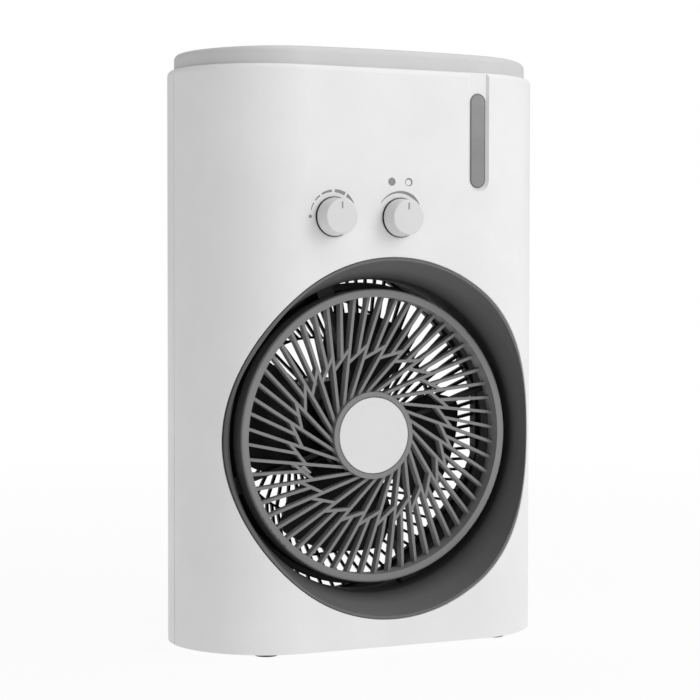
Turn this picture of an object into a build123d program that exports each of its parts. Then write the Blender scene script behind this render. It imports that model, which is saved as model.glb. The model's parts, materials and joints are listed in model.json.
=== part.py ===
from build123d import *
import os
from math import acos, atan2, cos, degrees, radians, sin

# Box fan with a rotating front grille, in millimetres.
# X is to the right seen from the front, -Y is the front, +Z is up.
# The sub-parts are drawn about the middle of the casing, then moved back by half of what
# the knobs stand out, so that the origin is on the ground under the middle of the whole.

# ---- casing ----
WIDTH = 260.0          # obround casing, side to side
DEPTH = 130.0          # front face to back face
END_R = DEPTH / 2      # radius of the rounded ends in plan
FOOT_H = 2.2           # gap under the casing
BODY_Z0 = FOOT_H
BODY_H = 380.0         # white casing alone
BODY_Z1 = BODY_Z0 + BODY_H
WALL = 2.5
SHOULDER_R = 4.0       # rounding round the casing's top edge
SEAM_W = 0.8           # groove between the two casing halves
CAP_INSET = 4.5
CAP_H = 12.6
CAP_EDGE_R = 4.0
CAP_CROWN_R = 3900.0   # the cap's top falls gently towards both ends

# ---- air path ----
AXIS_Z = BODY_Z0 + 137.2        # height of the fan axis
HOLE_RX = 113.2                 # hole in the front casing
HOLE_RZ = 119.2
HOLE_EDGE_R = 0.8               # rounding of the front hole's outside edge
LIP_GAP = 0.4                   # open joint between casing and funnel
FUNNEL_Y = -35.4                # where the funnel turns into the duct
FUNNEL_R = 105.5
SKIRT_R = 104.8                 # straight part behind the funnel
SKIRT_WALL = 2.2
SKIRT_Y0 = -31.0
SKIRT_Y1 = -15.0
FLANGE_RX = 120.0               # funnel's flange behind the casing wall
FLANGE_RZ = 126.0
FLANGE_T = 2.0
REAR_HOLE_R = 121.5
REAR_R = 117.5                  # clear radius of the rear grille
REAR_HALF_W = 115.4             # its sides are cut straight at this half width
REAR_RIBS = 44                  # ribs in the inner ring of the rear grille, twice as many outside
DUCT_WIDE_Y = 36.0              # the duct reaches its full radius here
REAR_T = 2.6
REAR_RIB_W = 1.8
REAR_TWIST = 18.3               # angle a rear rib turns between its outer end and the middle ring

# ---- rotating grille ----
RIM_R = 98.4
RIM_IN = 93.0
RIM_Y0 = -38.0
RIM_Y1 = -25.4
RIM_EDGE_R = 1.6                # rounding of the rim's outer front edge
RIM_LIP = 1.5
HUB_RING_R = 29.5
HUB_RING_IN = 26.0
RIB_Y0 = -31.4
RIB_Y1 = -25.4
RIB_W = 2.0
RIB_PAIRS = 28                  # long ribs, each with a short one beside it
RIB_PHASE = 8.0                 # rim angle of the first long rib, degrees
LEAN = 23.0                     # distance from the axis at which a long rib passes it
LINK_OUT_R = 61.0               # a link runs from here on one long rib
LINK_IN_R = 52.0                # to here on the next one
HUB_CAP_R = 25.6
HUB_CAP_Y0 = -34.3

# ---- fan and motor ----
BLADES = 4
BLADE_R = 82.0
BLADE_T = 1.8
BLADE_PHASE = 80.0              # direction of the first blade, degrees
BLADE_SPAN = 60.0               # angle of one blade at its tip
BLADE_PITCH = 105.0             # axial travel of the blade surface in one turn
BLADE_MID_Y = 3.0
FAN_HUB_R = 26.0
SHAFT_R = 4.0
RUN_FIT = 0.05                  # radial clearance of a shaft in its bush
MOTOR_R = 36.0
LOUVRE_MOTOR_R = 21.0
LOUVRE_MOTOR_Y0 = -24.6
LOUVRE_MOTOR_Y1 = -13.6
ARM_ANGLES = (18.0, 108.0, 198.0, 288.0)
ARM_W = 3.0
HOOP_IN = 96.5                  # fixed hoop behind the rim, carried by the arms
HOOP_Y0 = -24.0
HOOP_Y1 = -9.5
HOOP_FLANGE_R = 102.6           # flange at the hoop's back
EAR_ANGLES = (10.0, 130.0, 250.0)

# ---- controls ----
KNOB_Z = BODY_Z0 + 282.3
SPEED_X = -44.7
LOUVRE_X = 3.3
KNOB_R = 12.5
KNOB_FACE_R = 11.2
KNOB_GAP = 1.4
KNOB_RING_R = 13.0              # dark ring under each knob
KNOB_L = 12.9                   # from the panel to the knob's face
SWITCH_SHAFT_R = 3.0
BUSHING_R = 4.9
WINDOW_X = 62.5
WINDOW_Z0 = BODY_Z0 + 303.0
WINDOW_Z1 = BODY_Z0 + 365.8
WINDOW_W = 11.3
CHANNEL_W = 16.0
CHANNEL_FLOOR_W = 12.6
CHANNEL_D = 2.0

# ---- fixings ----
FOOT_R = 8.0
FOOT_XY = [(sx * 84.5, sy * 47.0) for sx in (-1, 1) for sy in (-1, 1)]
CASE_SCREW_XZ = [(-112, 20), (112, 20), (-114, 268), (114, 268), (-104, 366), (104, 366)]
CASE_BOSS_R = 4.5
DUCT_SCREW_R = 129.0
DUCT_SCREW_ANGLES = (45.0, 135.0, 225.0, 315.0)
CAP_SCREW_XY = [(sx * 88.0, sy * 34.0) for sx in (-1, 1) for sy in (-1, 1)]
MOTOR_SCREW_R = 29.5
TIE_BOLT_R = 31.5
MOTOR_SEAT_Y = 58.0             # where the motor sits on the rear grille
LEAD_ANGLE = 86.0               # the motor lead leaves in this direction
LEAD_Y = 38.0
LEAD_R = 1.6
GLAND_X = 56.0                  # cord inlet low in the back
GLAND_Z = BODY_Z0 + 14.5
GLAND_R = 5.5

FRONT_Y = -DEPTH / 2
BACK_Y = DEPTH / 2

os.makedirs("parts", exist_ok=True)


# ---- helpers ----

def facing_front(y, x=0.0, z=AXIS_Z):
    """Sketch plane at depth y that faces the front; its Y axis is up."""
    return Plane(origin=(x, y, z), x_dir=(1, 0, 0), z_dir=(0, -1, 0))


def rod(radius, y0, y1, x=0.0, z=AXIS_Z):
    """Round bar along Y from y0 in front to y1 behind."""
    return extrude(facing_front(y1, x, z) * Circle(radius), amount=y1 - y0)


def tube(outer, inner, y0, y1, x=0.0, z=AXIS_Z):
    """Round tube along Y."""
    return rod(outer, y0, y1, x, z) - rod(inner, y0 - 1, y1 + 1, x, z)


def oval_bar(rx, rz, y0, y1):
    """Elliptical bar along Y, centred on the fan axis."""
    return extrude(facing_front(y1) * Ellipse(rx, rz), amount=y1 - y0)


def turned(profile, x=0.0, z=AXIS_Z):
    """Solid turned about a Y axis; profile is a list of (radius, y) corners."""
    face = Plane(origin=(x, 0, z), z_dir=(0, 0, 1)) * make_face(Polyline(*profile, close=True))
    return revolve(face, Axis((x, 0, z), (0, 1, 0)))


def block(x0, x1, y0, y1, z0, z1):
    """Box given by its limits."""
    centre = ((x0 + x1) / 2, (y0 + y1) / 2, (z0 + z1) / 2)
    return Pos(*centre) * Box(x1 - x0, y1 - y0, z1 - z0)


def obround(inset, z0, z1):
    """Upright obround column, the casing's plan shrunk by inset."""
    plan = SlotOverall(WIDTH - 2 * inset, DEPTH - 2 * inset)
    return Pos(0, 0, z0) * extrude(plan, amount=z1 - z0)


def skin(inset, thickness):
    """Wall-shaped layer that follows the casing, inset from its outside."""
    return obround(inset, 0, 400) - obround(inset + thickness, -1, 401)


def front_half(y=0.0):
    return block(-200, 200, -100, y, -50, 450)


def rear_half(y=0.0):
    return block(-200, 200, y, 100, -50, 450)


def polar(radius, angle):
    """Point in a front-facing sketch, angle counter-clockwise from +X."""
    return (radius * cos(radians(angle)), radius * sin(radians(angle)))


def between(start, end):
    """Place and length of a strip that joins two points of a sketch."""
    run = Vector(*end) - Vector(*start)
    middle = (Vector(*start) + Vector(*end)) / 2
    return Pos(middle.X, middle.Y) * Rot(0, 0, degrees(atan2(run.Y, run.X))), run.length


def bar(start, end, width):
    """Flat bar with round ends between two points of a sketch."""
    place, length = between(start, end)
    return place * SlotCenterToCenter(length, width)


def strip(start, end, width):
    """Flat bar with square ends between two points of a sketch."""
    place, length = between(start, end)
    return place * Rectangle(length, width)


def merged(pieces):
    """One body from many overlapping ones."""
    return pieces[0].fuse(*pieces[1:])


def group(pieces):
    """Several separate solids kept in one node."""
    return Compound(children=list(pieces))


def rib_angle(radius):
    """Angle of a long rib at a radius, counted from its rim end."""
    return degrees(acos(LEAN / RIM_IN) - acos(LEAN / radius))


def cross_recess(x, z, y):
    """Cross-shaped driver recess in a screw head whose face looks to the back at y."""
    across = block(x - 1.7, x + 1.7, y - 1.2, y + 1, z - 0.35, z + 0.35)
    return across + block(x - 0.35, x + 0.35, y - 1.2, y + 1, z - 1.7, z + 1.7)


# ---- casing ----

def casing():
    """The whole white casing before it is split."""
    outside = obround(0, BODY_Z0, BODY_Z1)
    outside = fillet(outside.edges().group_by(Axis.Z)[-1], SHOULDER_R)
    outside = fillet(outside.edges().group_by(Axis.Z)[0], 0.8)
    hollow = obround(WALL, BODY_Z0 + WALL, BODY_Z1 - WALL)
    groove = skin(-1, 1 + SEAM_W) & block(-200, 200, -SEAM_W / 2, SEAM_W / 2, -1, 450)
    foot_holes = [Pos(x, y, 0) * Cylinder(3.0, 30) for x, y in FOOT_XY]
    cap_holes = [Pos(x, y, BODY_Z1) * Cylinder(1.8, 20) for x, y in CAP_SCREW_XY]
    return outside - hollow - groove - foot_holes - cap_holes


def case_bosses(front):
    """Screw bosses that run from a half's wall to the seam."""
    bosses = [rod(CASE_BOSS_R, -64, 64, x, z) for x, z in CASE_SCREW_XZ]
    half = front_half() if front else rear_half()
    return [boss & obround(WALL - 0.5, BODY_Z0, BODY_Z1) & half for boss in bosses]


def channel():
    """Shallow channel that runs from the casing's top edge down round the window."""
    middle = (WINDOW_Z0 + 450) / 2
    length = 450 - WINDOW_Z0
    mouth = facing_front(FRONT_Y - 0.01, WINDOW_X, middle) * Rot(0, 0, 90)
    mouth = mouth * SlotOverall(length + 5, CHANNEL_W)
    floor = facing_front(FRONT_Y + CHANNEL_D, WINDOW_X, middle) * Rot(0, 0, 90)
    floor = floor * SlotOverall(length + 5 - (CHANNEL_W - CHANNEL_FLOOR_W), CHANNEL_FLOOR_W)
    return loft([mouth, floor])


def window_slot(width, y0, y1, grow=0.0):
    """Pill-shaped bar through the front wall at the window."""
    middle = (WINDOW_Z0 + WINDOW_Z1) / 2
    pill = Rot(0, 0, 90) * SlotOverall(WINDOW_Z1 - WINDOW_Z0 + grow, width)
    return extrude(facing_front(y1, WINDOW_X, middle) * pill, amount=y1 - y0)


def duct_bosses():
    """Bosses on the front wall that carry the air duct."""
    bosses = []
    for angle in DUCT_SCREW_ANGLES:
        x, z = polar(DUCT_SCREW_R, angle)
        boss = rod(4.0, -64, -24, x, AXIS_Z + z) & obround(WALL - 0.5, 0, 400)
        bosses.append(boss - rod(1.25, -40, -20, x, AXIS_Z + z))
    return bosses


def hole_edges(shell):
    """Edges where the front hole meets the outside of the casing."""
    outside = obround(0, BODY_Z0, BODY_Z1).faces()
    found = []
    for edge in shell.edges():
        middle = edge @ 0.5
        on_oval = abs((middle.X / HOLE_RX) ** 2 + ((middle.Z - AXIS_Z) / HOLE_RZ) ** 2 - 1) < 0.001
        on_skin = min(face.distance_to(middle) for face in outside) < 0.01
        if on_oval and on_skin:
            found.append(edge)
    return found


def front_shell():
    shell = casing() & front_half()
    pad = block(WINDOW_X - 12, WINDOW_X + 11, FRONT_Y + 1, FRONT_Y + 6, WINDOW_Z0 - 10, BODY_Z1 - 1)
    pad = pad & obround(WALL - 0.5, BODY_Z0, BODY_Z1)
    shell = merged([shell, pad] + case_bosses(True) + duct_bosses())
    shell = shell - oval_bar(HOLE_RX, HOLE_RZ, -70, -30)
    shell = fillet(hole_edges(shell), HOLE_EDGE_R)
    shell = shell - channel() - window_slot(WINDOW_W + 0.2, -70, -50, 0.2)
    for x in (SPEED_X, LOUVRE_X):
        shell = shell - rod(BUSHING_R + 0.1, -70, -55, x, KNOB_Z)
    for x, z in CASE_SCREW_XZ:
        shell = shell - rod(1.6, -16, 1, x, z)
    return shell


def rear_shell():
    shell = casing() & rear_half()
    shell = merged([shell] + case_bosses(False))
    shell = shell - rod(REAR_HOLE_R, 20, 70)
    for x, z in CASE_SCREW_XZ:
        shell = shell - rod(2.1, -1, 70, x, z) - rod(3.8, 10, 70, x, z)
    return shell - rod(GLAND_R, 50, 70, GLAND_X, GLAND_Z)


def top_cap():
    """Grey cap on the casing, hollow from below."""
    crown = rod(CAP_CROWN_R, -100, 100, 0, BODY_Z1 + CAP_H - CAP_CROWN_R)
    outside = obround(CAP_INSET, BODY_Z1, BODY_Z1 + CAP_H + 5) & crown
    outside = fillet(outside.faces().sort_by(Axis.Z)[-1].edges(), CAP_EDGE_R)
    hollow = obround(CAP_INSET + 2.2, BODY_Z1 - 1, BODY_Z1 + CAP_H - 5.0)
    cap = outside - hollow
    for x, y in CAP_SCREW_XY:
        cap = cap + Pos(x, y, BODY_Z1 + 4.5) * Cylinder(3.5, 9)
        cap = cap - Pos(x, y, BODY_Z1 + 4) * Cylinder(1.25, 8.1)
    return cap


# ---- air path ----

def outline(y, rx, rz):
    """Closed smooth outline about the fan axis, always started on the right."""
    turns = [radians(15 * i) for i in range(24)]
    return facing_front(y) * make_face(Spline([(rx * cos(a), rz * sin(a)) for a in turns], periodic=True))


def funnel_passage(grow):
    """Space inside the funnel, wider by grow all round."""
    sections = [(-67, 111.2, 118.0), (-56, 111.9, 113.2), (-46, 111.2, 109.2), (-39.5, 107.9, 106.7)]
    sections += [(FUNNEL_Y, FUNNEL_R, FUNNEL_R), (SKIRT_Y0, SKIRT_R + 0.15, SKIRT_R + 0.15)]
    return loft([outline(y, rx + grow, rz + grow) for y, rx, rz in sections])


def arm_holes():
    """Radial screw holes in the funnel's skirt, one for each arm of the louvre carrier."""
    y = (LOUVRE_MOTOR_Y0 + LOUVRE_MOTOR_Y1) / 2
    return [radial(1.5, 95, 115, angle, y) for angle in ARM_ANGLES]


def radial(radius, r0, r1, angle, y):
    """Round bar along a radius of the fan axis."""
    x, z = polar(r0, angle)
    end_x, end_z = polar(r1, angle)
    way = Vector(end_x - x, 0, end_z - z)
    plane = Plane(origin=(x, y, AXIS_Z + z), z_dir=way.normalized())
    return extrude(plane * Circle(radius), amount=r1 - r0)


def funnel_bezel():
    lip = oval_bar(HOLE_RX - LIP_GAP, HOLE_RZ - LIP_GAP, -70, -27.1)
    wall = (funnel_passage(2.0) & lip) + (lip & skin(0, 5.0))
    flange = oval_bar(FLANGE_RX, FLANGE_RZ, -70, -20) & skin(WALL + 0.1, FLANGE_T)
    flange = flange & front_half(-20)
    skirt = rod(SKIRT_R + SKIRT_WALL, SKIRT_Y0 - 1, SKIRT_Y1)
    body = merged([wall & obround(0, 0, 400), flange, skirt])
    body = body - funnel_passage(0) - rod(SKIRT_R, SKIRT_Y0 - 0.5, 0)
    return body - arm_holes()


def air_duct():
    """Black duct from the funnel's skirt back to the rear grille, with four screw ears."""
    wide = REAR_R + 1.5
    inner = [(SKIRT_R, SKIRT_Y1), (wide, DUCT_WIDE_Y), (wide, BACK_Y)]
    outer = [(wide + 2, BACK_Y), (wide + 2, DUCT_WIDE_Y), (SKIRT_R + SKIRT_WALL, SKIRT_Y1)]
    ears = []
    for angle in DUCT_SCREW_ANGLES:
        strut = bar(polar(108, angle), polar(DUCT_SCREW_R, angle), 9.0)
        web = bar(polar(108, angle), polar(118, angle), 3.0)
        ears += [extrude(facing_front(-21) * strut, amount=3), extrude(facing_front(-10) * web, amount=12)]
    front = SKIRT_R + SKIRT_WALL
    duct = merged([turned(inner + outer)] + ears) - turned([(0, -30), (front, -30), (front, SKIRT_Y1)] + inner
                                                           + [(0, BACK_Y)])
    for angle in DUCT_SCREW_ANGLES:
        x, z = polar(DUCT_SCREW_R, angle)
        duct = duct - rod(1.6, -30, -10, x, AXIS_Z + z)
    duct = duct - radial(2.6, 95, 130, LEAD_ANGLE, LEAD_Y)
    return duct & obround(REAR_T + FLANGE_T + 0.1, 0, 400)


def rear_opening():
    """Outline of the rear opening: round, with straight sides."""
    return Circle(REAR_R) & Rectangle(2 * REAR_HALF_W, 300)


def rear_grille():
    """Intake grille: ribs and rings that follow the casing's back."""
    rings = [Circle(REAR_HOLE_R - 0.3) - rear_opening(), Circle(93) - Circle(91.4), Circle(64) - Circle(62.4)]
    rings.append(Circle(MOTOR_R))
    ribs = []
    step = 180 / REAR_RIBS
    for i in range(REAR_RIBS):
        angle = 2 * i * step
        ribs.append(strip(polar(34.5, angle - 32), polar(63.2, angle - REAR_TWIST), REAR_RIB_W))
        ribs.append(strip(polar(63.2, angle - REAR_TWIST), polar(119, angle), REAR_RIB_W))
        ribs.append(strip(polar(63.2, angle - REAR_TWIST + step), polar(119, angle + step), REAR_RIB_W))
    pattern = merged(rings + ribs)
    grille = extrude(facing_front(70) * pattern, amount=60) & skin(0, REAR_T) & rear_half(20)
    flange = rod(REAR_HOLE_R + 4, 20, 70) - extrude(facing_front(71) * rear_opening(), amount=52)
    flange = flange & skin(REAR_T, FLANGE_T)
    ring = tube(MOTOR_R, MOTOR_R - 2.5, MOTOR_SEAT_Y, BACK_Y - 1)
    lugs = [rod(5.0, MOTOR_SEAT_Y, BACK_Y - 1, x, z) & rod(MOTOR_R, 0, 70) for x, z in motor_screw_places()]
    body = merged([grille, flange, ring] + lugs)
    for x, z in motor_screw_places():
        body = body - rod(2.1, 50, 70, x, z) - rod(3.8, BACK_Y - 3, 70, x, z)
    return body


def motor_screw_places():
    return [(x, AXIS_Z + z) for x, z in (polar(MOTOR_SCREW_R, 45 + 90 * i) for i in range(4))]


def tie_bolt_places():
    return [(x, AXIS_Z + z) for x, z in (polar(TIE_BOLT_R, 90 * i) for i in range(4))]


# ---- rotating grille ----

def rim_angle(index):
    return RIB_PHASE + index * 360 / RIB_PAIRS


def rib_pattern():
    """Long ribs, the links between them and the short ribs that end on the links."""
    pieces = []
    pitch = 360 / RIB_PAIRS
    for i in range(RIB_PAIRS):
        start = rim_angle(i)
        rim = polar(RIM_IN + 0.4, start)
        root = polar(HUB_RING_R - 1, start + rib_angle(HUB_RING_R - 1))
        link_out = polar(LINK_OUT_R, start + rib_angle(LINK_OUT_R))
        link_in = polar(LINK_IN_R, start + pitch + rib_angle(LINK_IN_R))
        middle = ((link_out[0] + link_in[0]) / 2, (link_out[1] + link_in[1]) / 2)
        short = polar(RIM_IN + 0.4, start + pitch / 2)
        pieces += [bar(rim, root, RIB_W), bar(link_out, link_in, RIB_W), bar(short, middle, RIB_W)]
    return pieces


def rotating_grille():
    ring = Circle(HUB_RING_R) - Circle(HUB_RING_IN)
    ribs = extrude(facing_front(RIB_Y1) * merged([ring] + rib_pattern()), amount=RIB_Y1 - RIB_Y0)
    rim = tube(RIM_R, RIM_IN, RIM_Y0, RIM_Y1)
    front_edges = rim.edges().group_by(Axis.Y)[0].sort_by(SortBy.LENGTH)
    rim = fillet(front_edges[-1], RIM_EDGE_R)
    rim = rim - tube(RIM_R - RIM_LIP, RIM_IN + RIM_LIP, RIM_Y0 + 2, RIM_Y1 + 1)
    hub = tube(HUB_RING_R, HUB_RING_IN, HUB_CAP_Y0 + 0.3, RIB_Y1)
    hub = fillet(hub.edges().group_by(Axis.Y)[0], 0.5)
    web = rod(HUB_RING_IN + 1, -30, -28)
    boss = rod(7.0, -30, LOUVRE_MOTOR_Y0 - 0.6)
    body = merged([ribs, rim, hub, web, boss])
    return body - rod(SWITCH_SHAFT_R, -28.5, -20) - rod(1.6, -31, -20)


def hub_cap():
    """Light disc in the middle of the grille, with a skirt that stands on the hub's web."""
    disc = rod(HUB_CAP_R, HUB_CAP_Y0, HUB_CAP_Y0 + 1.5)
    disc = fillet(disc.edges().group_by(Axis.Y)[0], 0.5)
    return disc + tube(HUB_CAP_R - 0.3, HUB_CAP_R - 2, HUB_CAP_Y0 + 1, -30)


def louvre_shaft():
    """Output shaft of the louvre motor, with a screw hole in its front end."""
    return rod(SWITCH_SHAFT_R - 0.02, -28.5, LOUVRE_MOTOR_Y0 + 6) - rod(1.3, -29, -21)


def hub_screw():
    return rod(3.0, -31.8, -30) + rod(1.25, -30, -22)


def louvre_carrier():
    """Ring, four arms and outer hoop that hold the louvre motor between grille and blades."""
    y0 = LOUVRE_MOTOR_Y0 + 1
    y1 = LOUVRE_MOTOR_Y1 - 2
    pieces = [tube(31.0, LOUVRE_MOTOR_R + 0.4, y0, y1), tube(RIM_R, HOOP_IN, HOOP_Y0, HOOP_Y1)]
    pieces.append(tube(HOOP_FLANGE_R, HOOP_IN, HOOP_Y1 - 2.0, HOOP_Y1))
    for angle in ARM_ANGLES:
        arm = extrude(facing_front(y1) * bar(polar(29, angle), polar(100, angle), ARM_W), amount=y1 - y0)
        spread = Pos(*polar(101.5, angle)) * Rot(0, 0, angle) * Rectangle(9, 12)
        pad = extrude(facing_front(y1) * spread, amount=y1 - y0) & rod(SKIRT_R, y0 - 1, y1 + 1)
        pieces += [arm, pad]
    body = merged(pieces)
    for x, z in louvre_screw_places():
        body = body - rod(1.3, y0 + 1, y1 + 1, x, z)
    for angle in ARM_ANGLES:
        body = body - radial(1.1, 98, 106, angle, (LOUVRE_MOTOR_Y0 + LOUVRE_MOTOR_Y1) / 2)
    return body


def louvre_screw_places():
    return [(x, AXIS_Z + z) for x, z in (polar(26.5, angle) for angle in EAR_ANGLES)]


def louvre_motor():
    """Flat geared synchronous motor with three ears."""
    can = rod(LOUVRE_MOTOR_R, LOUVRE_MOTOR_Y0, LOUVRE_MOTOR_Y1)
    can = fillet(can.edges().group_by(Axis.Y)[0], 1.0)
    y0 = LOUVRE_MOTOR_Y1 - 2
    pieces = [can]
    for angle in EAR_ANGLES:
        ear = bar(polar(15, angle), polar(26.5, angle), 8.0)
        pieces.append(extrude(facing_front(LOUVRE_MOTOR_Y1) * ear, amount=LOUVRE_MOTOR_Y1 - y0))
    body = merged(pieces)
    for x, z in louvre_screw_places():
        body = body - rod(1.6, -20, 0, x, z)
    return body - rod(SWITCH_SHAFT_R + RUN_FIT - 0.02, LOUVRE_MOTOR_Y0 - 1, LOUVRE_MOTOR_Y0 + 6.5)


def louvre_screws():
    y = LOUVRE_MOTOR_Y1
    return [rod(2.6, y, y + 1.2, x, z) + rod(1.25, y - 6, y, x, z) for x, z in louvre_screw_places()]


def carrier_screws():
    y = (LOUVRE_MOTOR_Y0 + LOUVRE_MOTOR_Y1) / 2
    outside = SKIRT_R + SKIRT_WALL
    screws = []
    for angle in ARM_ANGLES:
        head = radial(2.6, outside + 0.1, outside + 1.8, angle, y)
        screws.append(head + radial(1.05, 99, outside + 1, angle, y))
    return screws


# ---- fan ----

def blade_surface_y(angle, radius):
    """Depth of a blade's middle surface; the blade is twisted and slightly hollow."""
    turn = angle / 360
    belly = 2.0 * cos(radians(angle / BLADE_SPAN * 180)) * radius / BLADE_R
    return BLADE_MID_Y - BLADE_PITCH * turn + belly


def blade(index):
    """One blade: a twisted sheet, thickened and trimmed to its outline."""
    grid = []
    for i in range(9):
        radius = 20 + i * 9.0
        row = []
        for j in range(13):
            angle = -48 + j * 8.0
            x, z = polar(radius, angle)
            row.append(Vector(x, blade_surface_y(angle, radius), z))
        grid.append(row)
    sheet = Face.make_surface_from_array_of_points(grid)
    solid = Solid.thicken(sheet, BLADE_T)
    root_a = polar(FAN_HUB_R - 1.5, -30)
    root_b = polar(FAN_HUB_R - 1.5, 36)
    tip_a = polar(BLADE_R - 9, -BLADE_SPAN / 2)
    tip_b = polar(BLADE_R - 15, BLADE_SPAN / 2 + 2)
    lower = Spline(root_a, polar(50, -33), tip_a, tangents=[(0.9, -0.7), (0.9, 0.0)])
    turn_a = polar(BLADE_R - 2.2, 2.5 - BLADE_SPAN / 2)
    corner_a = ThreePointArc(tip_a, turn_a, polar(BLADE_R, 8 - BLADE_SPAN / 2))
    tip = ThreePointArc(corner_a @ 1, polar(BLADE_R, 0), polar(BLADE_R, BLADE_SPAN / 2 - 9))
    corner_b = Spline(tip @ 1, tip_b, tangents=[tip % 1, (-0.9, 0.0)])
    upper = Spline(tip_b, polar(46, 37), root_b, tangents=[(-0.9, 0.0), (-0.4, -0.9)])
    plan = make_face(lower + corner_a + tip + corner_b + upper + Line(root_b, root_a))
    prism = extrude(facing_front(60, 0, 0) * plan, amount=120)
    trimmed = solid & prism
    turn = -(BLADE_PHASE + index * 360 / BLADES)
    return Pos(0, 0, AXIS_Z) * Rot(0, turn, 0) * trimmed


def fan_blade():
    cup = turned([(0, -4), (22, -4), (FAN_HUB_R, 0), (FAN_HUB_R, 15), (FAN_HUB_R - 2, 15), (FAN_HUB_R - 2, 1),
                  (21, -2), (0, -2)])
    boss = rod(9, -4, 12)
    body = merged([cup, boss] + [blade(i) for i in range(BLADES)])
    body = body - rod(SHAFT_R + 0.02, -6, 20)
    slot = block(-9.5, 9.5, 8.4, 13, AXIS_Z - 1.6, AXIS_Z + 1.6)
    return body - slot


def blade_nut():
    nut = turned([(0, -12), (6, -12), (9, -10.5), (10.5, -8), (10.5, -4), (0, -4)])
    places = [polar(10.5, 30 * i) for i in range(12)]
    notches = [rod(1.6, -13, -6, x, AXIS_Z + z) for x, z in places]
    return nut - notches - rod(SHAFT_R + 0.02, -9.5, 0)


def motor_shaft():
    shaft = rod(SHAFT_R, -9.3, 56.3)
    shaft = shaft - radial(1.52, -10, 10, 0, 10)
    return shaft


def drive_pin():
    return radial(1.5, -9, 9, 0, 10)


def rotor_core():
    core = tube(14.0, SHAFT_R, 30, 46)
    rings = tube(13.5, 8, 28.5, 30) + tube(13.5, 8, 46, 47.5)
    return merged([core, rings])


# ---- main motor ----

def stator_core():
    core = tube(MOTOR_R - 0.5, 14.4, 30, 46)
    slots = []
    for i in range(12):
        x, z = polar(20.5, 30 * i + 15)
        slots.append(rod(3.4, 29, 47, x, AXIS_Z + z))
    bolts = [rod(1.8, 29, 47, x, z) for x, z in tie_bolt_places()]
    return core - slots - bolts


def stator_windings():
    """Copper in the slots and the two end turns."""
    slots = []
    for i in range(12):
        x, z = polar(20.5, 30 * i + 15)
        slots.append(rod(3.3, 26, 50, x, AXIS_Z + z))
    ends = [tube(24.5, 16, 25, 29.9), tube(24.5, 16, 46.1, 51)]
    return merged(ends + slots)


def bracket_windows(y0, y1):
    """Cooling windows in a motor bracket's end plate."""
    places = [polar(21, 60 * i) for i in range(6)]
    return [rod(4.5, y0, y1, x, AXIS_Z + z) for x, z in places]


def motor_front_bracket():
    outside = [(0, 17.5), (11, 17.5), (13, 20), (MOTOR_R - 0.5, 20), (MOTOR_R - 0.5, 30)]
    bracket = turned(outside + [(MOTOR_R - 3, 30), (MOTOR_R - 3, 22.5), (13, 22.5), (13, 25.5), (0, 25.5)])
    bracket = bracket - bracket_windows(19, 23) - rod(9, 19.5, 26) - rod(SHAFT_R + 0.4, 15, 20)
    lugs = [rod(3.4, 21, 30, x, z) for x, z in tie_bolt_places()]
    bracket = merged([bracket] + lugs)
    return bracket - [rod(1.8, 15, 31, x, z) for x, z in tie_bolt_places()]


def motor_rear_bracket():
    outside = [(0, MOTOR_SEAT_Y), (MOTOR_R - 0.5, MOTOR_SEAT_Y), (MOTOR_R - 0.5, 46), (MOTOR_R - 3, 46)]
    bracket = turned(outside + [(MOTOR_R - 3, 54.5), (13, 54.5), (13, 51.5), (0, 51.5)])
    lugs = [rod(3.0, 47, 55, x, z) for x, z in motor_screw_places()]
    lugs += [rod(3.0, 46, 55, x, z) for x, z in tie_bolt_places()]
    bracket = merged([bracket] + lugs) - rod(9, 51, 57)
    bracket = bracket - [rod(1.6, 48, 59, x, z) for x, z in motor_screw_places()]
    return bracket - [rod(1.5, 45, 54, x, z) for x, z in tie_bolt_places()]


def bushing(y0, y1):
    return tube(8.98, SHAFT_R + RUN_FIT, y0, y1)


def tie_bolts():
    return [rod(2.9, 17.9, 20, x, z) + rod(1.45, 19, 52, x, z) for x, z in tie_bolt_places()]


def motor_screws():
    screws = []
    for x, z in motor_screw_places():
        screw = rod(3.5, BACK_Y - 3, BACK_Y - 0.6, x, z) + rod(1.55, 49, BACK_Y - 2, x, z)
        screws.append(screw - cross_recess(x, z, BACK_Y - 0.6))
    return screws


# ---- controls ----

def knob(x):
    """Turned knob, hollow behind to clear the switch nut, with a shallow line in its face."""
    base = FRONT_Y - KNOB_GAP
    face = FRONT_Y - KNOB_L
    body = turned([(0, face), (KNOB_FACE_R, face), (KNOB_R, base), (0, base)], x, KNOB_Z)
    body = fillet(body.edges().group_by(Axis.Y)[0], 0.9)
    body = body - rod(10.3, base - 4, base + 1, x, KNOB_Z)
    body = body + tube(5.2, SWITCH_SHAFT_R, base - 5, base - 3.2, x, KNOB_Z)
    body = body - rod(SWITCH_SHAFT_R, face + 2, base + 1, x, KNOB_Z)
    return body - pointer(x, 0.0)


def pointer(x, gap=0.03):
    """Coloured line let into a knob's face."""
    face = FRONT_Y - KNOB_L
    return block(x - 0.55 + gap, x + 0.55 - gap, face, face + 0.4, KNOB_Z + 5.1 + gap, KNOB_Z + 9.5 - gap)


def knob_ring(x):
    """Dark ring on the panel that fills the gap under a knob."""
    return tube(KNOB_RING_R, 9.2, FRONT_Y - KNOB_GAP + 0.2, FRONT_Y, x, KNOB_Z)


def switch_shaft(x):
    return rod(SWITCH_SHAFT_R - 0.01, FRONT_Y - KNOB_L + 2, -49, x, KNOB_Z)


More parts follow.
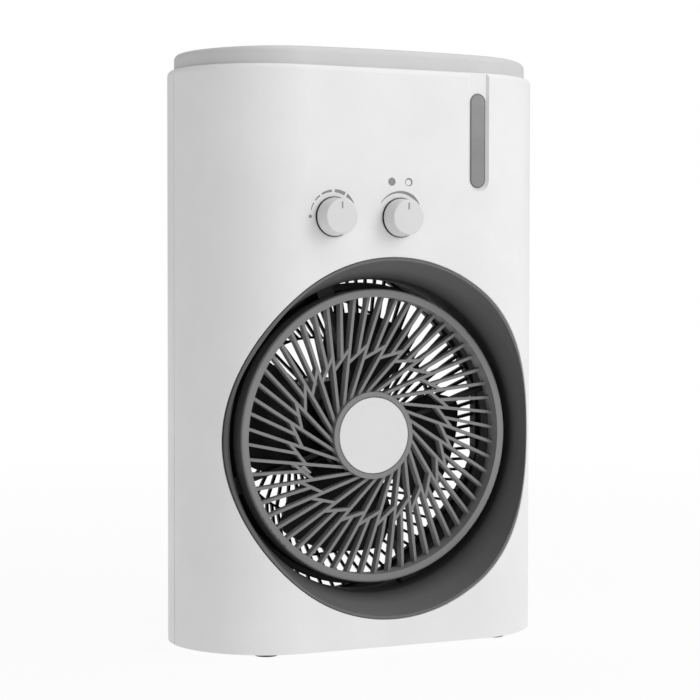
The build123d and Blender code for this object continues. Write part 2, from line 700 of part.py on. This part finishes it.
def switch_body(x, size, depth):
    """Rotary switch: square body with terminals behind and a round bushing through the panel."""
    y0 = FRONT_Y + WALL
    body = block(x - size / 2, x + size / 2, y0, y0 + depth, KNOB_Z - size / 2, KNOB_Z + size / 2)
    body = fillet(body.edges().filter_by(Axis.Y), 2.0)
    tabs = []
    for tab_x in (x - 7, x, x + 7):
        tabs.append(block(tab_x - 2.4, tab_x + 2.4, y0 + depth - 1, y0 + depth + 7, KNOB_Z - 8, KNOB_Z - 7.2))
    body = merged([body, rod(BUSHING_R, FRONT_Y - 3.6, y0 + 1, x, KNOB_Z)] + tabs)
    return body - rod(SWITCH_SHAFT_R + RUN_FIT, -80, -48.6, x, KNOB_Z)


def switch_nut(x):
    hexagon = RegularPolygon(7.4, 6) - Circle(BUSHING_R + 0.02)
    return extrude(facing_front(FRONT_Y, x, KNOB_Z) * hexagon, amount=2.2)


def indicator_window():
    """Smoked pill-shaped lens with a flange behind the wall."""
    lens = window_slot(WINDOW_W, FRONT_Y + CHANNEL_D - 0.5, FRONT_Y + 7)
    return lens + window_slot(WINDOW_W + 4, FRONT_Y + 6, FRONT_Y + 7.2, 4)


def lamp_board():
    board = block(WINDOW_X - 8, WINDOW_X + 8, -52, -50.4, WINDOW_Z0 - 4, WINDOW_Z1 + 4)
    posts = []
    for z in (WINDOW_Z0 - 2.2, WINDOW_Z1 + 2.2):
        posts.append(block(WINDOW_X - 3, WINDOW_X + 3, FRONT_Y + 7.3, -52, z - 1.5, z + 1.5))
    return merged([board] + posts)


def lamps():
    step = (WINDOW_Z1 - WINDOW_Z0) / 4
    return [rod(2.5, -56.5, -52, WINDOW_X, WINDOW_Z0 + step * (i + 0.5)) for i in range(4)]


def run_capacitor():
    can = block(-96, -58, 40.5, BACK_Y - WALL, 320, 344)
    can = fillet(can.edges().filter_by(Axis.Y), 3.0)
    return can & obround(WALL, 0, 400)


def capacitor_strap():
    loop = block(-80, -72, 38.5, BACK_Y - WALL, 318, 346) - block(-81, -71, 40.5, 70, 320, 344)
    feet = block(-80, -72, BACK_Y - WALL - 2, BACK_Y - WALL, 310, 354) - block(-81, -71, 50, 70, 320, 344)
    return (loop + feet) & obround(WALL, 0, 400)


def terminal_block():
    body = block(20, 62, 46, BACK_Y - WALL, 322, 338)
    for i in range(4):
        body = body - rod(2.6, 45, 52, 26 + 10 * i, 330)
    return body


def terminal_screws():
    return [rod(2.5, 48.5, 52, 26 + 10 * i, 330) for i in range(4)]


# ---- base, cord inlet and fixings ----

def cord_gland():
    """Inlet for the supply cord: a rubber bush with a collar behind the casing wall."""
    body = rod(GLAND_R - 0.05, BACK_Y - 8, BACK_Y + 0.01, GLAND_X, GLAND_Z)
    collar = rod(8.0, BACK_Y - WALL - 2.6, BACK_Y - WALL, GLAND_X, GLAND_Z)
    return merged([body, collar]) - rod(3.4, 0, 80, GLAND_X, GLAND_Z)


def cord_clamp():
    """Bridge on the casing floor that grips the cord inside."""
    y0 = 34
    foot = block(GLAND_X - 12, GLAND_X + 12, y0, y0 + 10, BODY_Z0 + WALL, BODY_Z0 + WALL + 8.5)
    bridge = block(GLAND_X - 12, GLAND_X + 12, y0, y0 + 10, BODY_Z0 + WALL, GLAND_Z + 6)
    return (foot + bridge) - rod(3.4, y0 - 1, y0 + 11, GLAND_X, GLAND_Z)


def rubber_feet():
    feet = []
    for x, y in FOOT_XY:
        pad = Pos(x, y, FOOT_H / 2) * Cylinder(FOOT_R, FOOT_H)
        pad = chamfer(pad.edges().group_by(Axis.Z)[0], 0.6)
        stem = Pos(x, y, FOOT_H + 1.5) * Cylinder(2.95, 3.2)
        barb = Pos(x, y, FOOT_H + WALL + 1.2) * Cylinder(3.9, 2.0)
        feet.append(merged([pad, stem, barb]))
    return feet


def motor_lead():
    """Lead from the motor up through the duct to the speed switch."""
    x, z = polar(MOTOR_R - 0.4, LEAD_ANGLE)
    top_x, top_z = polar(132, LEAD_ANGLE)
    start = (x, LEAD_Y, AXIS_Z + z)
    corner = (top_x, LEAD_Y, AXIS_Z + top_z)
    turn = (SPEED_X, LEAD_Y - 10, KNOB_Z - 7.6)
    path = FilletPolyline(start, corner, turn, (SPEED_X, FRONT_Y + WALL + 24.2, KNOB_Z - 7.6), radius=8)
    return sweep(Plane(origin=path @ 0, z_dir=path % 0) * Circle(LEAD_R), path=path)


def case_screws():
    screws = []
    for x, z in CASE_SCREW_XZ:
        screw = rod(3.6, 10.0, 12.6, x, z) + rod(1.55, -15, 11, x, z)
        screws.append(screw - cross_recess(x, z, 12.6))
    return screws


def duct_screws():
    screws = []
    for angle in DUCT_SCREW_ANGLES:
        x, z = polar(DUCT_SCREW_R, angle)
        screws.append(rod(3.0, -21, -19, x, AXIS_Z + z) + rod(1.2, -38, -20, x, AXIS_Z + z))
    return screws


def cap_screws():
    screws = []
    for x, y in CAP_SCREW_XY:
        head = Pos(x, y, BODY_Z1 - WALL - 1) * Cylinder(3.2, 2)
        screws.append(head + Pos(x, y, BODY_Z1 + 1.5) * Cylinder(1.2, 8))
    return screws


# ---- write every node ----

def save(name, shape):
    """Write one node; a list becomes a group of separate solids."""
    way = Pos(0, KNOB_L / 2, 0)
    moved = group([way * piece for piece in shape]) if isinstance(shape, list) else way * shape
    export_step(moved, f"parts/{name}.step")


SOLIDS = {
    "front_shell": front_shell,
    "rear_shell": rear_shell,
    "top_cap": top_cap,
    "funnel_bezel": funnel_bezel,
    "air_duct": air_duct,
    "rear_grille": rear_grille,
    "louvre_carrier": louvre_carrier,
    "carrier_screws": carrier_screws,
    "louvre_motor": louvre_motor,
    "louvre_motor_screws": louvre_screws,
    "rotating_grille": rotating_grille,
    "hub_cap": hub_cap,
    "louvre_shaft": louvre_shaft,
    "hub_screw": hub_screw,
    "fan_blade": fan_blade,
    "blade_nut": blade_nut,
    "motor_shaft": motor_shaft,
    "drive_pin": drive_pin,
    "rotor_core": rotor_core,
    "stator_core": stator_core,
    "stator_windings": stator_windings,
    "motor_front_bracket": motor_front_bracket,
    "motor_rear_bracket": motor_rear_bracket,
    "front_bushing": lambda: bushing(19.5, 25.3),
    "rear_bushing": lambda: bushing(51.2, 56.8),
    "tie_bolts": tie_bolts,
    "motor_screws": motor_screws,
    "motor_lead": motor_lead,
    "speed_knob": lambda: knob(SPEED_X),
    "speed_pointer": lambda: pointer(SPEED_X),
    "speed_knob_ring": lambda: knob_ring(SPEED_X),
    "speed_switch_shaft": lambda: switch_shaft(SPEED_X),
    "speed_switch": lambda: switch_body(SPEED_X, 30, 17),
    "speed_switch_nut": lambda: switch_nut(SPEED_X),
    "louvre_knob": lambda: knob(LOUVRE_X),
    "louvre_pointer": lambda: pointer(LOUVRE_X),
    "louvre_knob_ring": lambda: knob_ring(LOUVRE_X),
    "louvre_switch_shaft": lambda: switch_shaft(LOUVRE_X),
    "louvre_switch": lambda: switch_body(LOUVRE_X, 24, 15),
    "louvre_switch_nut": lambda: switch_nut(LOUVRE_X),
    "indicator_window": indicator_window,
    "lamp_board": lamp_board,
    "lamps": lamps,
    "run_capacitor": run_capacitor,
    "capacitor_strap": capacitor_strap,
    "terminal_block": terminal_block,
    "terminal_screws": terminal_screws,
    "cord_gland": cord_gland,
    "cord_clamp": cord_clamp,
    "rubber_feet": rubber_feet,
    "case_screws": case_screws,
    "duct_screws": duct_screws,
    "cap_screws": cap_screws,
}

for node, make in SOLIDS.items():
    save(node, make())
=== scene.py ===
import json

from math import cos, pi, radians, sin

import bpy
from mathutils import Matrix, Vector

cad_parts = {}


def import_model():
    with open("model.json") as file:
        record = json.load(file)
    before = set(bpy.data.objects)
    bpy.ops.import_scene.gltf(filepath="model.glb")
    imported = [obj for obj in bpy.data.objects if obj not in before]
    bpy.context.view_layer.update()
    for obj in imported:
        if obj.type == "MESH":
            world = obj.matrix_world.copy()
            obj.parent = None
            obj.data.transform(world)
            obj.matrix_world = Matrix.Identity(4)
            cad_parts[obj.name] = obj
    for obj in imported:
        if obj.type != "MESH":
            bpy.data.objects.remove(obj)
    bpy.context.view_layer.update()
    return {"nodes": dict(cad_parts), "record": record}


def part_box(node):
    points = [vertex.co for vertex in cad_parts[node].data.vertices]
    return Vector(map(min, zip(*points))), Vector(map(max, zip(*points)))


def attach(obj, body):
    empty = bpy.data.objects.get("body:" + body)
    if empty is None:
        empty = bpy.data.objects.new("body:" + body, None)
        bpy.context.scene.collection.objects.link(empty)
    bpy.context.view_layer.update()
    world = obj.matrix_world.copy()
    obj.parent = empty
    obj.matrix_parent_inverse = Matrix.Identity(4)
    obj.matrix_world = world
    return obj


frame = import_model()
NODES = frame["nodes"]
MM = 0.001

# ---------------------------------------------------------------- camera
# The camera is a long lens at about the fan's middle height, to the left of the front.
CAM_AT = Vector((-0.6141, -1.25706, 0.24529))
CAM_YAW = radians(25.8658)
CAM_PITCH = radians(2.0225)
CAM_ROLL = radians(0.0787)
FOCAL_PX = 2051.85
IMAGE_PX = 700.0


def make_camera():
    right = Vector((cos(CAM_YAW), -sin(CAM_YAW), 0))
    level = Vector((sin(CAM_YAW), cos(CAM_YAW), 0))
    forward = level * cos(CAM_PITCH) - Vector((0, 0, sin(CAM_PITCH)))
    up = Vector((0, 0, cos(CAM_PITCH))) + level * sin(CAM_PITCH)
    side = right * cos(CAM_ROLL) + up * sin(CAM_ROLL)
    top = up * cos(CAM_ROLL) - right * sin(CAM_ROLL)
    data = bpy.data.cameras.new("camera")
    data.sensor_width = 36.0
    data.lens = 36.0 * FOCAL_PX / IMAGE_PX
    data.clip_start, data.clip_end = 0.05, 60.0
    cam = bpy.data.objects.new("camera", data)
    bpy.context.scene.collection.objects.link(cam)
    axes = Matrix((side, top, -forward)).transposed().to_4x4()
    cam.matrix_world = Matrix.Translation(CAM_AT) @ axes
    bpy.context.scene.camera = cam


# ---------------------------------------------------------------- node helpers
class Graph:
    """Short names for building one material's nodes."""

    def __init__(self, name):
        self.mat = bpy.data.materials.new(name)
        self.mat.use_nodes = True
        self.tree = self.mat.node_tree
        self.tree.nodes.clear()
        self.out = self.add("ShaderNodeOutputMaterial")
        self.bsdf = self.add("ShaderNodeBsdfPrincipled")
        self.link(self.bsdf.outputs[0], self.out.inputs["Surface"])
        self.coord = self.add("ShaderNodeTexCoord").outputs["Object"]

    def add(self, kind, **values):
        node = self.tree.nodes.new(kind)
        for key, value in values.items():
            setattr(node, key, value)
        return node

    def link(self, a, b):
        self.tree.links.new(a, b)

    def put(self, socket, value):
        if isinstance(value, bpy.types.NodeSocket):
            self.link(value, socket)
        else:
            socket.default_value = value

    def stretched(self, scale):
        node = self.add("ShaderNodeMapping")
        self.link(self.coord, node.inputs["Vector"])
        node.inputs["Scale"].default_value = scale
        return node.outputs[0]

    def noise(self, scale, detail=3.0, rough=0.5, vector=None):
        node = self.add("ShaderNodeTexNoise")
        self.link(vector or self.coord, node.inputs["Vector"])
        node.inputs["Scale"].default_value = scale
        node.inputs["Detail"].default_value = detail
        node.inputs["Roughness"].default_value = rough
        return node.outputs[0]

    def voronoi(self, scale, vector=None):
        node = self.add("ShaderNodeTexVoronoi")
        self.link(vector or self.coord, node.inputs["Vector"])
        node.inputs["Scale"].default_value = scale
        return node.outputs["Distance"]

    def wave(self, scale, direction, distortion):
        node = self.add("ShaderNodeTexWave", wave_type="BANDS", bands_direction=direction)
        self.link(self.coord, node.inputs["Vector"])
        node.inputs["Scale"].default_value = scale
        node.inputs["Distortion"].default_value = distortion
        return node.outputs[1]

    def span(self, value, a, b, c, d):
        """value from a..b carried to c..d."""
        node = self.add("ShaderNodeMapRange")
        self.link(value, node.inputs[0])
        for socket, number in zip(node.inputs[1:5], (a, b, c, d)):
            socket.default_value = number
        return node.outputs[0]

    def math(self, operation, a, b=0.0):
        node = self.add("ShaderNodeMath", operation=operation)
        self.put(node.inputs[0], a)
        self.put(node.inputs[1], b)
        return node.outputs[0]

    def mix(self, factor, a, b):
        node = self.add("ShaderNodeMix", data_type="RGBA")
        self.put(node.inputs[0], factor)
        self.put(node.inputs[6], a)
        self.put(node.inputs[7], b)
        return node.outputs[2]

    def bump(self, height, strength, distance, normal=None):
        node = self.add("ShaderNodeBump")
        self.link(height, node.inputs["Height"])
        node.inputs["Strength"].default_value = strength
        node.inputs["Distance"].default_value = distance
        if normal:
            self.link(normal, node.inputs["Normal"])
        return node.outputs[0]

    def finish(self, **inputs):
        for key, value in inputs.items():
            self.put(self.bsdf.inputs[key.replace("_", " ")], value)
        return self.mat


def tone(value, warm=0.0):
    return (value * (1 + warm), value, value * (1 - warm), 1.0)


GRAIN_SCALE = 3500.0      # spark-eroded grain of moulded plastic
GRAIN_DEPTH = 0.00002
FUNNEL_SHADE = (14 * MM, 32 * MM)      # depths behind the funnel's lip where the painted shade starts and ends


def painted_shade_ramp(g):
    """Mask of the painted shade in the funnel: 0 at the funnel's lip, rising to 1 where it meets the duct.
    """
    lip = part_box("funnel_bezel")[0].y
    place = g.add("ShaderNodeSeparateXYZ")
    g.link(g.coord, place.inputs[0])
    start, end = FUNNEL_SHADE
    return g.span(place.outputs[1], lip + start, lip + end, 0.0, 1.0)


def plastic(name, value, rough, warm=0.0, blotch=0.03, spec=0.5, painted_shade=None):
    """Moulded plastic: fine grain, faint clouding and uneven gloss; the last argument, when given, is a
    darker tone painted deeper in the funnel as painted shade.
    """
    g = Graph(name)
    cloud = g.noise(14.0, 4.0, 0.6)
    fine = g.noise(420.0, 2.0)
    light, dark = tone(value * (1 + blotch), warm), tone(value * (1 - blotch), warm)
    colour = g.mix(g.span(cloud, 0.35, 0.65, 0.0, 1.0), light, dark)
    colour = g.mix(g.span(fine, 0.3, 0.7, 0.0, 0.35), colour, tone(value * (1 - blotch * 0.6), warm))
    # Painted shade: the colour blends towards the darker tone deeper in the funnel.
    if painted_shade is not None:
        colour = g.mix(painted_shade_ramp(g), colour, tone(painted_shade))
    cloudy_gloss = g.span(cloud, 0.3, 0.7, rough - 0.03, rough + 0.03)
    gloss = g.math("ADD", cloudy_gloss, g.span(fine, 0.3, 0.7, -0.015, 0.015))
    pits = g.bump(g.voronoi(GRAIN_SCALE), 0.35, GRAIN_DEPTH)
    waves = g.bump(g.noise(45.0, 2.0), 0.12, 0.00012, pits)
    return g.finish(Base_Color=colour, Roughness=gloss, Normal=waves, Specular_IOR_Level=spec, IOR=1.5)


def metal(name, colour, rough, stretch=(600.0, 60.0, 600.0), depth=0.00002, stain=0.12):
    """Drawn or turned metal with fine lines, stains and uneven gloss."""
    g = Graph(name)
    lines = g.noise(1.0, 3.0, 0.6, g.stretched(stretch))
    cloud = g.noise(60.0, 3.0)
    full = (*colour, 1.0)
    dull = (*[c * (1 - stain * 2.5) for c in colour], 1.0)
    shade = g.mix(g.span(cloud, 0.4, 0.75, 0.0, 0.7), full, dull)
    gloss = g.span(lines, 0.2, 0.8, rough - 0.08, rough + 0.1)
    return g.finish(Base_Color=shade, Metallic=1.0, Roughness=gloss, Normal=g.bump(lines, 0.5, depth))


def rubber(name, value):
    """Matt rubber with a dusty, slightly pitted skin."""
    g = Graph(name)
    dust = g.noise(120.0, 5.0, 0.65)
    colour = g.mix(g.span(dust, 0.45, 0.8, 0.0, 0.6), tone(value), tone(value * 2.1, 0.02))
    gloss = g.span(dust, 0.3, 0.7, 0.68, 0.86)
    return g.finish(Base_Color=colour, Roughness=gloss, Normal=g.bump(g.noise(1500.0, 2.0), 0.4, 0.00005),
                    Specular_IOR_Level=0.35)


def banded(name, colour, dark, scale, rough, metallic, direction="Y"):
    """Stacked sheets or wound wire: fine parallel lines with dark gaps."""
    g = Graph(name)
    lines = g.wave(scale, direction, 0.4)
    colour_out = g.mix(g.span(lines, 0.05, 0.45, 1.0, 0.0), (*colour, 1.0), (*dark, 1.0))
    gloss = g.span(g.noise(90.0), 0.3, 0.7, rough - 0.08, rough + 0.08)
    return g.finish(Base_Color=colour_out, Roughness=gloss, Metallic=metallic,
                    Normal=g.bump(lines, 0.6, 0.0002))


def board(name):
    """Circuit board: green lacquer over brighter copper tracks."""
    g = Graph(name)
    tracks = g.add("ShaderNodeTexBrick", offset=0.5, squash=1.0)
    g.link(g.stretched((260.0, 260.0, 160.0)), tracks.inputs["Vector"])
    tracks.inputs["Mortar Size"].default_value = 0.06
    colour = g.mix(tracks.outputs["Fac"], (0.02, 0.10, 0.045, 1), (0.06, 0.24, 0.11, 1))
    colour = g.mix(g.span(g.noise(80.0), 0.4, 0.7, 0.0, 0.3), colour, (0.015, 0.07, 0.03, 1))
    return g.finish(Base_Color=colour, Roughness=g.span(g.noise(300.0), 0.3, 0.7, 0.28, 0.4),
                    Normal=g.bump(tracks.outputs["Fac"], 0.3, 0.00005))


def ink(name, value):
    """Screen-printed ink, a little uneven in tone and thickness."""
    g = Graph(name)
    speckle = g.noise(2500.0, 2.0)
    colour = g.mix(g.span(speckle, 0.35, 0.7, 0.0, 1.0), tone(value), tone(value * 1.18))
    return g.finish(Base_Color=colour, Roughness=g.span(speckle, 0.3, 0.7, 0.38, 0.5),
                    Normal=g.bump(speckle, 0.2, 0.00001), Specular_IOR_Level=0.4)


LENS_MARGIN = 2 * MM      # how far the lens's flange reaches past its face
LENS_R = 5.65 * MM        # radius of the face's round ends
LENS_RIM = (4.5 * MM, 5.3 * MM)        # the face darkens between these distances from its middle line


def smoked(name):
    """Smoked lens, lighter in its middle than at its rim, with fine moulding haze."""
    g = Graph(name)
    low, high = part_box("indicator_window")
    place = g.add("ShaderNodeSeparateXYZ")
    g.link(g.coord, place.inputs[0])
    across = g.math("ABSOLUTE", g.math("SUBTRACT", place.outputs[0], (low.x + high.x) / 2))
    z0, z1 = low.z + LENS_MARGIN + LENS_R, high.z - LENS_MARGIN - LENS_R
    below = g.math("MAXIMUM", g.math("SUBTRACT", z0, place.outputs[2]), 0.0)
    above = g.math("MAXIMUM", g.math("SUBTRACT", place.outputs[2], z1), 0.0)
    end = g.math("MAXIMUM", below, above)
    radial = g.math("SQRT", g.math("ADD", g.math("POWER", across, 2.0), g.math("POWER", end, 2.0)))
    rim = g.span(radial, *LENS_RIM, 0.0, 1.0)
    haze = g.span(g.noise(60.0, 4.0), 0.35, 0.65, 0.0, 1.0)
    middle = g.mix(haze, tone(0.215), tone(0.24))
    colour = g.mix(rim, middle, tone(0.11))
    return g.finish(Base_Color=colour, Roughness=g.span(haze, 0.0, 1.0, 0.3, 0.38),
                    Normal=g.bump(g.noise(900.0), 0.1, 0.00002), Coat_Weight=0.3, Coat_Roughness=0.12)


MATERIALS = {
    "casing_plastic": plastic("casing_plastic", 0.80, 0.42),
    "knob_plastic": plastic("knob_plastic", 0.68, 0.38),
    "cap_plastic": plastic("cap_plastic", 0.60, 0.42),
    # The funnel's colour carries painted shade, darker deeper inside.
    "funnel_plastic": plastic("funnel_plastic", 0.135, 0.44, spec=0.35, blotch=0.06, painted_shade=0.04),
    "duct_plastic": plastic("duct_plastic", 0.006, 0.6, spec=0.12, blotch=0.1),
    "rear_grille_plastic": plastic("rear_grille_plastic", 0.02, 0.5, blotch=0.08, spec=0.25),
    "carrier_plastic": plastic("carrier_plastic", 0.02, 0.5, blotch=0.08, spec=0.25),
    "grille_plastic": plastic("grille_plastic", 0.225, 0.42, blotch=0.04),
    "hub_plastic": plastic("hub_plastic", 0.76, 0.40),
    "blade_plastic": plastic("blade_plastic", 0.010, 0.42, blotch=0.1, spec=0.2),
    "nut_plastic": plastic("nut_plastic", 0.02, 0.5, blotch=0.1),
    "print_grey": ink("print_grey", 0.24),
    "window_grey": smoked("window_grey"),
    "switch_plastic": plastic("switch_plastic", 0.03, 0.5, blotch=0.1),
    "board_green": board("board_green"),
    "lamp_white": plastic("lamp_white", 0.7, 0.25, warm=0.03),
    "capacitor_black": plastic("capacitor_black", 0.025, 0.3, blotch=0.08),
    "terminal_white": plastic("terminal_white", 0.6, 0.5, warm=0.03),
    "lead_sheath": rubber("lead_sheath", 0.03),
    "gland_rubber": rubber("gland_rubber", 0.025),
    "ring_black": plastic("ring_black", 0.012, 0.5, spec=0.2, blotch=0.1),
    "foot_rubber": rubber("foot_rubber", 0.06),
    "zinc_screw": metal("zinc_screw", (0.62, 0.62, 0.64), 0.35),
    "black_screw": metal("black_screw", (0.05, 0.05, 0.052), 0.4),
    "shaft_steel": metal("shaft_steel", (0.56, 0.56, 0.58), 0.25),
    "motor_can_steel": metal("motor_can_steel", (0.5, 0.5, 0.52), 0.38),
    "lamination_steel": banded("lamination_steel", (0.22, 0.22, 0.23), (0.04, 0.04, 0.04), 320.0, 0.5, 0.9),
    "winding_copper": banded("winding_copper", (0.55, 0.2, 0.08), (0.12, 0.03, 0.01), 260.0, 0.35, 1.0, "X"),
    "bushing_bronze": metal("bushing_bronze", (0.55, 0.36, 0.17), 0.45),
    "bracket_aluminium": metal("bracket_aluminium", (0.6, 0.6, 0.61), 0.45, (150.0, 150.0, 150.0), 0.00008),
}


def paint_nodes():
    slots = {s["node"]: s["material_slot"] for s in frame["record"]["subparts"]}
    for name, obj in NODES.items():
        obj.data.materials.clear()
        obj.data.materials.append(MATERIALS[slots[name]])


# ---------------------------------------------------------------- printed marks
PANEL_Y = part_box("front_shell")[0].y
PRINT_PROUD = 0.03 * MM
PRINT_DEEP = 0.2 * MM


def knob_centre(node):
    low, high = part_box(node)
    return (low.x + high.x) / 2, (low.z + high.z) / 2


def print_mesh(name, verts, faces):
    """Printed mark from its mesh, in ink, riding on the casing."""
    mesh = bpy.data.meshes.new(name)
    mesh.from_pydata(verts, [], faces)
    mesh.materials.append(MATERIALS["print_grey"])
    obj = bpy.data.objects.new(name, mesh)
    bpy.context.scene.collection.objects.link(obj)
    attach(obj, "casing")
    return obj


def print_piece(name, outline):
    """Thin closed plate let into the panel, from a closed outline of (x, z) points."""
    count = len(outline)
    front = [(x, PANEL_Y - PRINT_PROUD, z) for x, z in outline]
    back = [(x, PANEL_Y + PRINT_DEEP, z) for x, z in outline]
    faces = [tuple(range(count)), tuple(range(2 * count - 1, count - 1, -1))]
    faces += [(i, i + count, (i + 1) % count + count, (i + 1) % count) for i in range(count)]
    return print_mesh(name, front + back, faces)


def disc(name, x, z, radius):
    turns = [2 * pi * i / 40 for i in range(40)]
    return print_piece(name, [(x + radius * cos(a), z + radius * sin(a)) for a in turns])


def arc(name, x, z, radius, start, end, width_start, width_end):
    """Curved dash on a dial, from start to end degrees, its width changing on the way."""
    steps = 14
    outer, inner = [], []
    for i in range(steps + 1):
        share = i / steps
        a = radians(start + (end - start) * share)
        half = (width_start + (width_end - width_start) * share) / 2
        outer.append((x + (radius + half) * cos(a), z + (radius + half) * sin(a)))
        inner.append((x + (radius - half) * cos(a), z + (radius - half) * sin(a)))
    return print_piece(name, outer + inner[::-1])


DIAL_R = 16.8 * MM


def ring(name, x, z, radius, thin, thick, lean):
    """Closed ring whose stroke swells from thin to thick towards the lean direction in degrees."""
    steps = 48
    inner_x = x - (thick - thin) / 2 * cos(radians(lean))
    inner_z = z - (thick - thin) / 2 * sin(radians(lean))
    inner_r = radius - (thin + thick) / 2
    turns = [2 * pi * i / steps for i in range(steps)]
    outer = [(x + radius * cos(a), z + radius * sin(a)) for a in turns]
    hole = [(inner_x + inner_r * cos(a), inner_z + inner_r * sin(a)) for a in turns]
    verts, faces = [], []
    for y in (PANEL_Y - PRINT_PROUD, PANEL_Y + PRINT_DEEP):
        verts += [(u, y, w) for u, w in outer] + [(u, y, w) for u, w in hole]
    for i in range(steps):
        k = (i + 1) % steps
        faces.append((i, k, k + steps, i + steps))
        faces.append((i + 2 * steps, i + 3 * steps, k + 3 * steps, k + 2 * steps))
        faces.append((i, i + 2 * steps, k + 2 * steps, k))
        faces.append((i + steps, k + steps, k + 3 * steps, i + 3 * steps))
    return print_mesh(name, verts, faces)


def dial_marks():
    """Speed scale that grows clockwise, the louvre knob's crescent and its two dots."""
    x, z = knob_centre("speed_knob")
    disc("speed_mark_off", x - DIAL_R, z, 1.15 * MM)
    spans = [(166, 148, 0.5, 0.7), (142, 126, 0.8, 1.0), (121, 95, 1.2, 1.7), (88, 62, 2.0, 2.4)]
    for i, (start, end, w0, w1) in enumerate(spans):
        arc(f"speed_mark_{i + 1}", x, z, DIAL_R, start, end, w0 * MM, w1 * MM)
    arc("speed_mark_5", x, z, DIAL_R, 57, 31, 2.5 * MM, 0.3 * MM)
    disc("speed_mark_end", x + DIAL_R, z, 0.4 * MM)
    x, z = knob_centre("louvre_knob")
    arc("louvre_mark_rise", x, z, DIAL_R, 146, 56, 0.4 * MM, 2.3 * MM)
    arc("louvre_mark_fall", x, z, DIAL_R, 56, 31, 2.3 * MM, 0.3 * MM)
    disc("louvre_dot_off", x - 6.0 * MM, z + 23.5 * MM, 2.7 * MM)
    # Printed ring; its stroke thickens towards the upper right as painted shade, a crescent like the shadow
    # in a small recess.
    ring("louvre_dot_on", x + 6.5 * MM, z + 23.5 * MM, 2.75 * MM, 0.35 * MM, 1.3 * MM, 40)


make_camera()
paint_nodes()
dial_marks()


# ---------------------------------------------------------------- stage
def floor():
    """Plain pale floor, bright enough to run into the pale background without a horizon."""
    g = Graph("floor_paper")
    length = g.add("ShaderNodeVectorMath", operation="LENGTH")
    g.link(g.coord, length.inputs[0])
    far = g.span(length.outputs["Value"], 0.3, 1.5, 0.92, 1.0)
    paper = g.mix(g.span(g.noise(30.0, 4.0), 0.3, 0.7, 0.0, 1.0), tone(0.86), tone(0.88))
    g.finish(Base_Color=paper, Roughness=0.9, Specular_IOR_Level=0.1)
    glow = g.add("ShaderNodeEmission")
    glow.inputs["Color"].default_value = (1, 1, 1, 1)
    blend = g.add("ShaderNodeMixShader")
    g.link(far, blend.inputs[0])
    g.link(g.bsdf.outputs[0], blend.inputs[1])
    g.link(glow.outputs[0], blend.inputs[2])
    g.link(blend.outputs[0], g.out.inputs["Surface"])
    rim = [(14 * cos(2 * pi * i / 96), 14 * sin(2 * pi * i / 96), 0.0) for i in range(96)]
    mesh = bpy.data.meshes.new("floor")
    mesh.from_pydata(rim, [], [tuple(range(96))])
    mesh.materials.append(g.mat)
    obj = bpy.data.objects.new("floor", mesh)
    bpy.context.scene.collection.objects.link(obj)


def area_light(name, place, target, size, power):
    data = bpy.data.lights.new(name, "AREA")
    data.shape = "RECTANGLE"
    data.size, data.size_y = size
    data.energy = power
    lamp = bpy.data.objects.new(name, data)
    bpy.context.scene.collection.objects.link(lamp)
    lamp.location = place
    lamp.rotation_mode = "QUATERNION"
    lamp.rotation_quaternion = (Vector(target) - Vector(place)).to_track_quat("-Z", "Y")


def world():
    """Soft even surround; what the camera sees directly is plain white paper."""
    made = bpy.data.worlds.new("studio")
    made.use_nodes = True
    tree = made.node_tree
    tree.nodes.clear()
    out = tree.nodes.new("ShaderNodeOutputWorld")
    seen = tree.nodes.new("ShaderNodeBackground")
    seen.inputs["Color"].default_value = (1, 1, 1, 1)
    light = tree.nodes.new("ShaderNodeBackground")
    light.inputs["Color"].default_value = (1, 1, 1, 1)
    light.inputs["Strength"].default_value = 0.43
    path = tree.nodes.new("ShaderNodeLightPath")
    blend = tree.nodes.new("ShaderNodeMixShader")
    tree.links.new(path.outputs["Is Camera Ray"], blend.inputs[0])
    tree.links.new(light.outputs[0], blend.inputs[1])
    tree.links.new(seen.outputs[0], blend.inputs[2])
    tree.links.new(blend.outputs[0], out.inputs["Surface"])
    bpy.context.scene.world = made


floor()
world()
MIDDLE = (0.0, 0.0, 0.2)
area_light("key", (1.3, -1.8, 1.25), MIDDLE, (1.4, 1.4), 21.0)
area_light("top", (0.5, -0.2, 1.9), MIDDLE, (1.6, 1.6), 13.0)
bpy.context.scene.view_settings.view_transform = "Standard"
